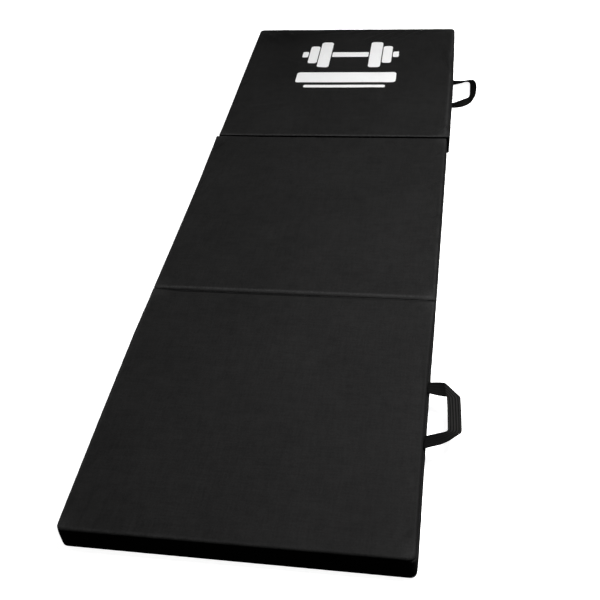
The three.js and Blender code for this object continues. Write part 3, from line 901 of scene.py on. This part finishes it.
def cut_shapes(outlines):
    """Flat shapes cut into small faces, so that they can bend."""
    bm = bmesh.new()
    for outline in outlines:
        bm.faces.new([bm.verts.new((x, y, 0)) for x, y in outline])
    lows = np.min([np.min(o, axis=0) for o in outlines], axis=0)
    highs = np.max([np.max(o, axis=0) for o in outlines], axis=0)
    for axis in (0, 1):
        normal = (1, 0, 0) if axis == 0 else (0, 1, 0)
        for cut in np.arange(math.ceil(lows[axis] / PRINT_STEP) * PRINT_STEP, highs[axis], PRINT_STEP):
            geometry = bm.verts[:] + bm.edges[:] + bm.faces[:]
            bmesh.ops.bisect_plane(bm, geom=geometry, plane_co=[n * cut for n in normal], plane_no=normal)
    bmesh.ops.remove_doubles(bm, verts=bm.verts[:], dist=0.01)
    bmesh.ops.recalc_face_normals(bm, faces=bm.faces)
    for face in bm.faces:
        if face.normal.z < 0:
            face.normal_flip()
    return bm


def printed(shape, outlines, tree, material):
    """Flat white shapes that follow the fabric under them."""
    bm = cut_shapes(outlines)
    for vert in bm.verts:
        vert.co = settled("far", np.array([vert.co - Vector((0, PITCH, 0))]))[0] + (0, PITCH, 0)
        hit = tree.ray_cast(Vector((vert.co.x, vert.co.y, 100)) * MM, Vector((0, 0, -1)))
        vert.co = Vector((vert.co.x, vert.co.y, hit[0].z / MM + PRINT_LIFT)) * MM
    top = bm.faces[:]
    extruded = bmesh.ops.extrude_face_region(bm, geom=top, use_keep_orig=True)
    raised = [v for v in extruded["geom"] if isinstance(v, bmesh.types.BMVert)]
    for vert in raised:
        vert.co.z += PRINT_THICKNESS * MM
    bmesh.ops.recalc_face_normals(bm, faces=bm.faces)
    mesh = bpy.data.meshes.new(f"{shape}_print")
    bm.to_mesh(mesh)
    bm.free()
    mesh.materials.append(material)
    piece = linked(f"{shape}_print", mesh)
    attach(piece, "far_panel")
    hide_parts(f"emblem_{shape}")


DUMBBELL_Y = 734.5


def dumbbell_outlines():
    """Grip, collars and two plates at each end, set apart by thin gaps."""
    y = DUMBBELL_Y
    shapes = [rounded_outline(-53.6, y - 14, 53.6, y + 14, 4)]
    for side in (-1, 1):
        for inner, outer, half, radius in ((57, 92, 75, 9), (95, 122, 50, 8), (125, 142, 16, 5)):
            low, high = sorted((side * inner, side * outer))
            shapes.append(rounded_outline(low, y - half, high, y + half, radius))
    return shapes


def add_print(cover, material):
    tree = surface_of(cover)
    printed("dumbbell", dumbbell_outlines(), tree, material)
    printed("wide_bar", [rounded_outline(-142, 574, 142, 630, 9)], tree, material)
    printed("narrow_bar", [rounded_outline(-115, 545.5, 115, 559.5, 6)], tree, material)


# ---- materials


class Graph:
    """A short way to write a material's nodes."""

    def __init__(self, name):
        self.material = bpy.data.materials.new(name)
        self.material.use_nodes = True
        self.tree = self.material.node_tree
        self.shader = self.tree.nodes["Principled BSDF"]

    def node(self, kind, inputs=None, **settings):
        node = self.tree.nodes.new(kind)
        for key, value in settings.items():
            setattr(node, key, value)
        for key, value in (inputs or {}).items():
            self.feed(node.inputs[key], value)
        return node

    def feed(self, socket, value):
        if isinstance(value, bpy.types.NodeSocket):
            self.tree.links.new(value, socket)
        else:
            socket.default_value = value

    def math(self, operation, *values):
        node = self.node("ShaderNodeMath", operation=operation)
        for socket, value in zip(node.inputs, values):
            self.feed(socket, value)
        return node.outputs[0]

    def chain(self, operation, total, *others):
        for value in others:
            total = self.math(operation, total, value)
        return total

    def add(self, *values):
        return self.chain("ADD", *values)

    def times(self, *values):
        return self.chain("MULTIPLY", *values)

    def noise(self, place, scale, detail=2, roughness=0.5):
        inputs = {"Vector": place, "Scale": scale, "Detail": detail, "Roughness": roughness}
        return self.node("ShaderNodeTexNoise", inputs).outputs["Fac"]

    def range(self, value, low, high, new_low=0, new_high=1):
        inputs = {"Value": value, "From Min": low, "From Max": high, "To Min": new_low, "To Max": new_high}
        return self.node("ShaderNodeMapRange", inputs).outputs[0]

    def mix(self, factor, a, b):
        inputs = {"Factor": factor, "A": a, "B": b}
        return self.node("ShaderNodeMix", inputs, data_type="RGBA").outputs["Result"]

    def sine(self, value, pitch):
        return self.math("SINE", self.times(value, 2 * math.pi / (pitch * MM)))

    def place(self):
        return self.node("ShaderNodeTexCoord").outputs["Object"]

    def parts(self, vector):
        return self.node("ShaderNodeSeparateXYZ", {"Vector": vector}).outputs

    def attribute(self, name):
        return self.node("ShaderNodeAttribute", attribute_name=name).outputs["Fac"]

    def streaks(self, place, scale, detail):
        """Noise drawn out along one axis."""
        stretched = self.node("ShaderNodeMapping", {"Vector": place, "Scale": scale}).outputs[0]
        return self.noise(stretched, 1, detail)

    def spread(self, value, low=0, high=1):
        """The middle of a noise's range, mapped from low to high."""
        return self.range(value, 0.3, 0.7, low, high)

    def bump(self, height, distance, strength, under=None):
        inputs = {"Height": height, "Distance": distance * MM, "Strength": strength}
        if under is not None:
            inputs["Normal"] = under
        return self.node("ShaderNodeBump", inputs).outputs["Normal"]

    def finish(self, colour, roughness, normal, **fixed):
        self.feed(self.shader.inputs["Base Color"], colour)
        self.feed(self.shader.inputs["Roughness"], roughness)
        self.feed(self.shader.inputs["Normal"], normal)
        for key, value in fixed.items():
            self.shader.inputs[key.replace("_", " ")].default_value = value
        return self.material


def grey(value, warm=0):
    return (value * (1 + warm), value, value * (1 - warm), 1)


def weave_height(g, pitch):
    """A plain weave on whichever way the surface faces, from the piece's own coordinates."""
    coordinates = g.node("ShaderNodeTexCoord")
    place = coordinates.outputs["Object"]
    facing = g.parts(coordinates.outputs["Normal"])
    waves = [g.sine(v, pitch) for v in g.parts(place)]
    total = 0
    for k, (a, b) in enumerate(((1, 2), (0, 2), (0, 1))):
        share = g.times(facing[k], facing[k])
        total = g.add(total, g.times(share, waves[a], waves[b]))
    return place, total


def cover_material():
    """Matt black polyester: plain weave, slubs, faint mottling, rubbed edges, painted highlights on the edges
    that face a fold, and painted shade in patches and in the fold crevices.
    """
    g = Graph("cover_fabric_looks")
    place, weave = weave_height(g, 1.1)
    mottle = g.noise(place, 7, 3, 0.55)
    patches = g.noise(place, 45, 3, 0.6)
    fine = g.noise(place, 330, 3, 0.65)
    level = g.add(g.spread(mottle, -0.14, 0.14), g.spread(patches, -0.16, 0.16))
    level = g.add(level, g.spread(fine, -0.32, 0.32), g.times(weave, 0.18))
    for scale in ((260, 22, 260), (22, 260, 260)):
        slub = g.streaks(place, scale, 1)
        level = g.add(level, g.range(slub, 0.35, 0.65, -0.1, 0.1))
    level = g.range(level, -0.6, 0.6)
    base = g.mix(level, grey(0.0097), grey(0.0186, 0.01))
    # Rubbed edges and corners, with painted highlights on the edges that face a fold.
    lightened = g.times(g.attribute("wear_and_highlight"), g.range(fine, 0.35, 0.65, 0.25, 1))
    base = g.mix(lightened, base, grey(0.036))
    # Painted shade: patches and the fold crevices are darkened almost to black.
    base = g.mix(g.times(g.attribute("painted_shade"), 0.5), base, grey(0.003))
    base = g.mix(g.times(g.attribute("seam"), 0.7), base, grey(0.005))
    roughness = g.range(g.add(mottle, g.times(weave, -0.1)), 0.2, 0.8, 0.5, 0.62)
    coarse = g.bump(patches, 0.5, 0.35)
    height = g.add(weave, g.times(fine, 0.6))
    normal = g.bump(height, 0.1, 0.35, coarse)
    fixed = {"Specular_IOR_Level": 0.04, "Sheen_Weight": 0.01, "Sheen_Roughness": 0.4}
    return g.finish(base, roughness, normal, **fixed)


def foam_material():
    """Off-white polyethylene foam with closed cells."""
    g = Graph("foam_looks")
    place = g.place()
    cells = g.node("ShaderNodeTexVoronoi", {"Vector": place, "Scale": 650}).outputs["Distance"]
    cloud = g.noise(place, 14, 3)
    colour = g.mix(g.range(cells, 0, 0.8), grey(0.46, 0.03), grey(0.62, 0.04))
    colour = g.mix(g.times(cloud, 0.3), colour, grey(0.4, 0.06))
    return g.finish(colour, g.spread(cloud, 0.8, 0.92), g.bump(cells, 0.3, 0.6))


def hinge_material():
    """Black hinge fabric, a denser weave than the cover's."""
    g = Graph("hinge_fabric_looks")
    place, weave = weave_height(g, 0.8)
    fine = g.noise(place, 500, 3, 0.6)
    cloud = g.noise(place, 20, 3)
    level = g.add(g.spread(cloud, 0.2, 0.6), g.times(weave, 0.2), g.spread(fine, -0.1, 0.2))
    colour = g.mix(level, grey(0.006), grey(0.013))
    normal = g.bump(g.add(weave, fine), 0.12, 0.5)
    return g.finish(colour, g.spread(cloud, 0.7, 0.85), normal, Specular_IOR_Level=0.3)


def webbing_material():
    """Black polypropylene webbing: ribs along it, crossed by fine picks, brushed lighter along its edges,
    darkened by painted shade where its shade attribute is set.
    """
    g = Graph("webbing_looks")
    coordinates = g.node("ShaderNodeTexCoord")
    place = coordinates.outputs["Object"]
    u, v, _ = g.parts(coordinates.outputs["UV"])
    rib = g.math("POWER", g.math("ABSOLUTE", g.sine(u, 9.6)), 1.5)
    pick = g.sine(g.add(v, g.times(rib, 0.0006)), 1.3)
    fine = g.noise(place, 700, 3, 0.6)
    cloud = g.noise(place, 35, 3)
    height = g.add(rib, g.times(pick, 0.3), g.times(fine, 0.3))
    edge = g.math("ABSOLUTE", g.math("SUBTRACT", u, 0.012))
    lightened = g.range(edge, 0.0105, 0.012, 0, 0.6)
    level = g.add(g.times(rib, 0.8), g.times(pick, 0.12), g.times(cloud, 0.3))
    level = g.range(level, 0.2, 1)
    colour = g.mix(level, grey(0.001), grey(0.0215, 0.03))
    colour = g.mix(g.times(lightened, fine), colour, grey(0.014))
    # Painted shade on the handles, set per station.
    colour = g.mix(g.attribute("shade"), colour, grey(0.0008))
    normal = g.bump(height, 0.35, 0.6)
    return g.finish(colour, g.spread(cloud, 0.62, 0.76), normal, Specular_IOR_Level=0.06)


def thread_material():
    g = Graph("thread_looks")
    place = g.place()
    twist = g.sine(g.add(*g.parts(place)), 0.5)
    cloud = g.noise(place, 60, 2)
    colour = g.mix(g.spread(cloud), grey(0.014), grey(0.028))
    return g.finish(colour, g.spread(cloud, 0.45, 0.6), g.bump(twist, 0.05, 0.6))


def print_material():
    """White heat-pressed print that lets the weave through and has fine cracks and rubbed spots."""
    g = Graph("print_looks")
    place, weave = weave_height(g, 1.1)
    cloud = g.noise(place, 22, 4, 0.6)
    fine = g.noise(place, 420, 3, 0.6)
    cells = g.node("ShaderNodeTexVoronoi", {"Vector": place, "Scale": 60}, feature="DISTANCE_TO_EDGE")
    cracks = cells.outputs["Distance"]
    crack = g.times(g.range(cracks, 0, 0.015, 1, 0), g.range(cloud, 0.5, 0.7, 0, 0.25))
    colour = g.mix(g.spread(cloud), grey(0.93, 0.002), grey(0.97))
    colour = g.mix(g.range(fine, 0.55, 0.75, 0, 0.12), colour, grey(0.7))
    colour = g.mix(crack, colour, grey(0.2))
    normal = g.bump(g.add(weave, g.times(crack, -2)), 0.08, 0.4)
    return g.finish(colour, g.spread(cloud, 0.45, 0.6), normal, Specular_IOR_Level=0.4)


def tape_material():
    g = Graph("zip_tape_looks")
    place = g.place()
    _, y, z = g.parts(place)
    herring = g.sine(g.add(y, g.math("ABSOLUTE", g.times(g.sine(z, 3.2), 0.0008))), 0.9)
    cloud = g.noise(place, 40, 3)
    level = g.range(g.add(g.times(herring, 0.25), cloud), 0.2, 0.9)
    colour = g.mix(level, grey(0.006), grey(0.014))
    return g.finish(colour, g.spread(cloud, 0.7, 0.84), g.bump(herring, 0.12, 0.5))


def coil_material():
    g = Graph("zip_coil_looks")
    cloud = g.noise(g.place(), 120, 3)
    colour = g.mix(g.spread(cloud), grey(0.01), grey(0.018))
    return g.finish(colour, g.spread(cloud, 0.3, 0.45), g.bump(cloud, 0.05, 0.3))


def metal_material():
    """Painted die-cast slider: black enamel worn to grey metal in places."""
    g = Graph("zip_metal_looks")
    place = g.place()
    cloud = g.noise(place, 260, 4, 0.6)
    worn = g.range(cloud, 0.58, 0.66)
    scratch = g.streaks(place, (900, 90, 900), 2)
    colour = g.mix(worn, grey(0.03), grey(0.32, 0.02))
    g.feed(g.shader.inputs["Metallic"], g.range(worn, 0, 1, 0.55, 1))
    return g.finish(colour, g.spread(scratch, 0.28, 0.46), g.bump(scratch, 0.03, 0.4))


def repaint(node, material):
    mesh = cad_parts[node].data
    mesh.materials.clear()
    mesh.materials.append(material)


# ---- floor and light


FLOOR_GLOW = 0.95
FLOOR_SIZE = 40000


def add_floor():
    """A pale floor. It follows the far panel down when that panel is folded under the mat."""
    g = Graph("floor_looks")
    g.tree.nodes.remove(g.shader)
    colour = g.mix(g.noise(g.place(), 3, 2), grey(0.84), grey(0.87))
    diffuse = g.node("ShaderNodeBsdfDiffuse", {"Color": colour})
    glow = g.node("ShaderNodeEmission", {"Strength": FLOOR_GLOW})
    both = g.node("ShaderNodeAddShader")
    g.feed(both.inputs[0], diffuse.outputs[0])
    g.feed(both.inputs[1], glow.outputs[0])
    g.feed(g.tree.nodes["Material Output"].inputs["Surface"], both.outputs[0])
    size, depth = FLOOR_SIZE / 2, -0.5
    corners = [(x * size, y * size, depth) for x, y in ((-1, -1), (1, -1), (1, 1), (-1, 1))]
    floor = make_object("floor", corners, [(0, 1, 2, 3)], g.material, smooth=False)
    floor.visible_diffuse = False
    floor.visible_glossy = False
    marker = linked("under_far_panel", None)
    marker.location = (0, PITCH * MM, THICKNESS * MM)
    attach(marker, "far_panel")
    follow = floor.constraints.new("COPY_LOCATION")
    follow.target = marker
    follow.use_x = False
    follow.use_y = False
    limit = floor.constraints.new("LIMIT_LOCATION")
    limit.use_max_z = True
    limit.max_z = 0


def add_light(name, place, aim, size, power, gloss=True):
    light = bpy.data.lights.new(name, "AREA")
    light.shape = "RECTANGLE"
    light.size, light.size_y = size
    light.energy = power
    lamp = linked(name, light)
    lamp.location = place
    lamp.visible_glossy = gloss
    lamp.rotation_euler = (Vector(aim) - Vector(place)).to_track_quat("-Z", "Y").to_euler()


def add_lights():
    """A key overhead, low soft boxes on all four sides, and a surround that only the camera sees."""
    add_light("overhead_light", (0.887, -0.168, 1.97), (0.887, -0.168, 0), (0.7, 0.7), 61)
    add_light("back_light", (0.3, 4, 0.45), (0, 0.9, 0.02), (3, 0.6), 55, gloss=False)
    add_light("left_light", (-3.4, 0.4, 0.45), (-0.3, 0.2, 0.02), (2.5, 0.6), 45)
    add_light("right_light", (3.4, 0.8, 0.7), (0.3, 0.2, 0), (2, 0.8), 5)
    add_light("front_light", (0.3, -4.4, 0.8), (0, -0.9, 0), (3, 0.8), 3, gloss=False)
    world = bpy.data.worlds.new("surround")
    world.use_nodes = True
    background = world.node_tree.nodes["Background"]
    background.inputs["Color"].default_value = (1, 1, 1, 1)
    background.inputs["Strength"].default_value = 1
    world.cycles_visibility.diffuse = False
    world.cycles_visibility.glossy = False
    bpy.context.scene.world = world
    bpy.context.scene.view_settings.view_transform = "Standard"


# ---- the whole


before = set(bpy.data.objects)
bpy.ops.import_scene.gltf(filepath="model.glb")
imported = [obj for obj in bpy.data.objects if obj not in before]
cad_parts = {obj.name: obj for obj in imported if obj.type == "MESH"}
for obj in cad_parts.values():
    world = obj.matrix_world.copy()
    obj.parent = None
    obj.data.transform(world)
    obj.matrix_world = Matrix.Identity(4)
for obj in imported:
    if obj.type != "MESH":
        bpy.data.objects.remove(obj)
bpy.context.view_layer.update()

add_camera()
add_floor()
add_lights()

cover_looks = cover_material()
thread_looks = thread_material()
web_looks = webbing_material()
hinge_looks = hinge_material()
foam_looks = foam_material()
coil_looks = coil_material()

covers = {}
for seed, panel in enumerate(PANEL_AT, 1):
    covers[panel] = add_cover(panel, seed, cover_looks)
    tree = surface_of(covers[panel])
    add_foam(panel, seed, foam_looks)
    stitch_panel(panel, tree, thread_looks)
    add_zip_chain(panel, coil_looks)
    repaint(f"{panel}_zip_tape", tape_material())
    repaint(f"{panel}_zip_slider", metal_material())
    repaint(f"{panel}_zip_pull", metal_material())

fold_strip("near", -FOLD_Y, NEAR_STRIP, hinge_looks, 1)
fold_strip("far", FOLD_Y, FAR_STRIP, hinge_looks, 2)
near_handle(web_looks)
far_handle(web_looks)
add_print(covers["far"], print_material())
